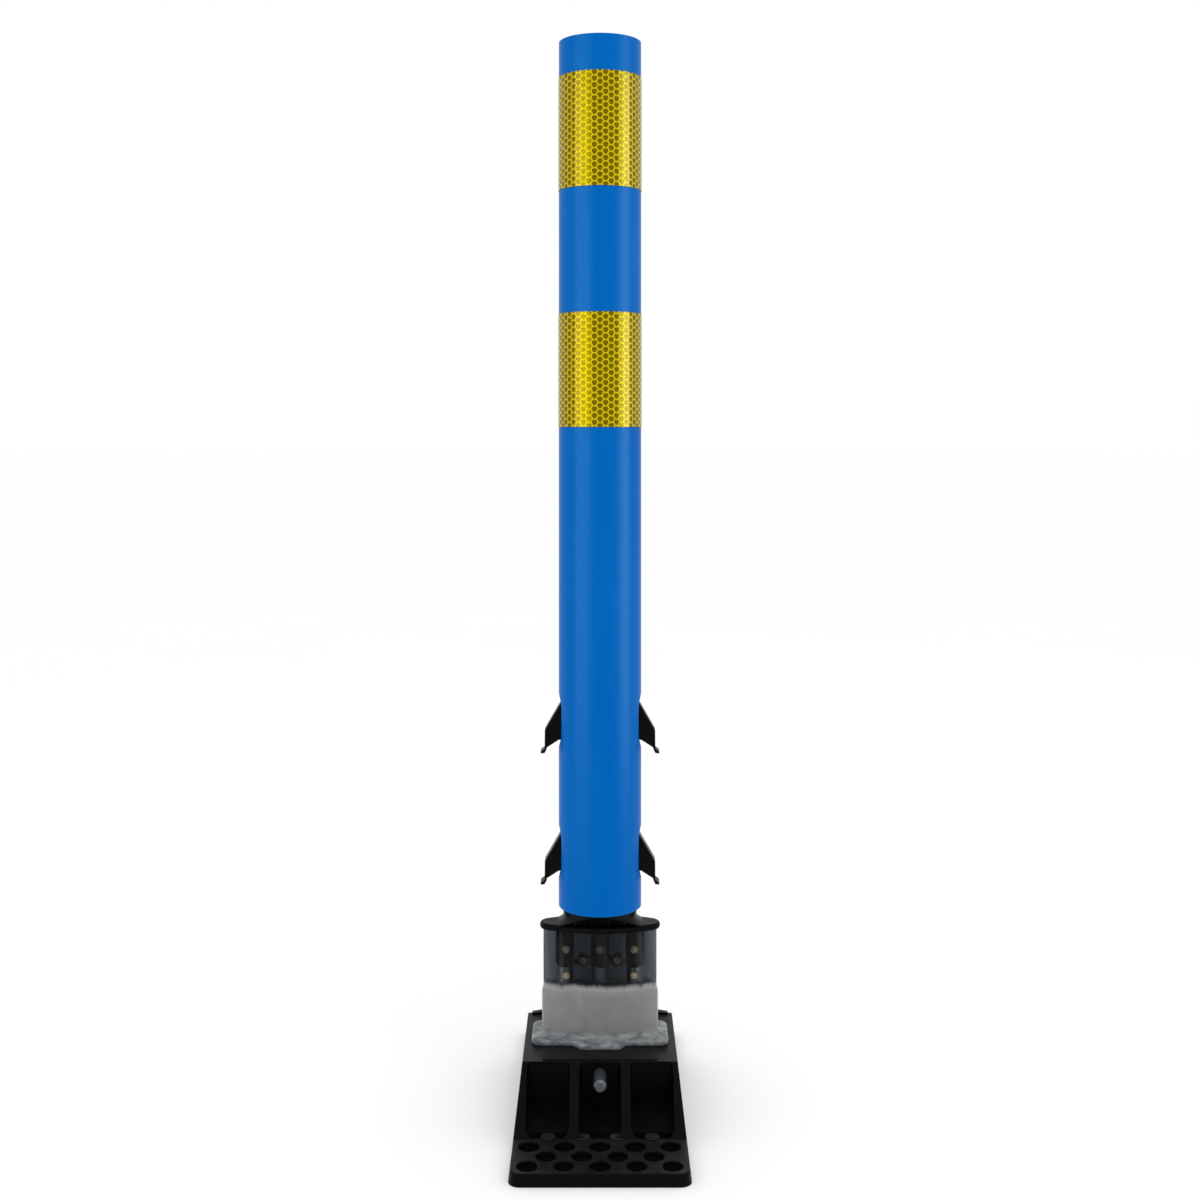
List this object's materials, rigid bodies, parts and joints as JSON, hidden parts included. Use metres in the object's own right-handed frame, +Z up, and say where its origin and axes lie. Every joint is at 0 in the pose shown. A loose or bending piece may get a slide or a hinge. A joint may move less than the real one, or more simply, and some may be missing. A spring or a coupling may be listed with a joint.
{
  "type": "delineator post",
  "caption": "Flexible delineator post: tube with reflective bands, latched on a spigot that a clear rebound hinge holds upright in a bolt-down wedge base.",
  "frame": {"origin": "on the ground, under the middle of the base", "axes": "+Z up along the tube, +Y along the base away from the viewer, +X across the base to the right"},
  "size_m": [0.152, 0.31, 0.978],
  "materials": {
    "black_rubber": "satin moulded",
    "clear_urethane": "translucent, clear above and milky below",
    "black_plastic": "satin moulded",
    "blue_tube": "semi gloss extruded",
    "reflective_sheeting": "honeycomb retroreflective film",
    "zinc_steel": "zinc plated",
    "brass": "dull",
    "spring_steel": "bright"
  },
  "bodies": {
    "base": {"base_block": "black_rubber", "retaining_pin": "zinc_steel", "hinge_block": "clear_urethane"},
    "post": {"adapter": "black_plastic", "insert_rivets": "brass", "tube": "blue_tube", "tube_plug": "blue_tube", "reflective_band_upper": "reflective_sheeting", "reflective_band_lower": "reflective_sheeting", "latch_spring_upper": "spring_steel", "latch_spring_lower": "spring_steel", "spring_pins": "zinc_steel", "latch_pin_upper_left": "zinc_steel", "latch_pin_upper_right": "zinc_steel", "latch_pin_lower_left": "zinc_steel", "latch_pin_lower_right": "zinc_steel"},
    "latch_upper_left": {"latch_upper_left": "black_plastic"},
    "latch_upper_right": {"latch_upper_right": "black_plastic"},
    "latch_lower_left": {"latch_lower_left": "black_plastic"},
    "latch_lower_right": {"latch_lower_right": "black_plastic"}
  },
  "joints": [
    {"name": "post_bend", "type": "hinge", "parent": "base", "child": "post", "pos_m": [0, 0, 0.095], "axis": [1, 0, 0], "range_deg": [-90, 90], "stiffness_Nm_per_rad": 60, "deforming": ["hinge_block"]},
    {"name": "latch_upper_left_press", "type": "hinge", "parent": "post", "child": "latch_upper_left", "pos_m": [-0.029, 0, 0.3804], "axis": [0, -1, 0], "range_deg": [0, 6], "stiffness_Nm_per_rad": 0.3, "springref_deg": -11.46, "deforming": ["latch_spring_upper"]},
    {"name": "latch_upper_right_press", "type": "hinge", "parent": "post", "child": "latch_upper_right", "pos_m": [0.029, 0, 0.3804], "axis": [0, 1, 0], "range_deg": [0, 6], "stiffness_Nm_per_rad": 0.3, "springref_deg": -11.46, "deforming": ["latch_spring_upper"]},
    {"name": "latch_lower_left_press", "type": "hinge", "parent": "post", "child": "latch_lower_left", "pos_m": [-0.029, 0, 0.2597], "axis": [0, -1, 0], "range_deg": [0, 6], "stiffness_Nm_per_rad": 0.3, "springref_deg": -11.46, "deforming": ["latch_spring_lower"]},
    {"name": "latch_lower_right_press", "type": "hinge", "parent": "post", "child": "latch_lower_right", "pos_m": [0.029, 0, 0.2597], "axis": [0, 1, 0], "range_deg": [0, 6], "stiffness_Nm_per_rad": 0.3, "springref_deg": -11.46, "deforming": ["latch_spring_lower"]}
  ]
}
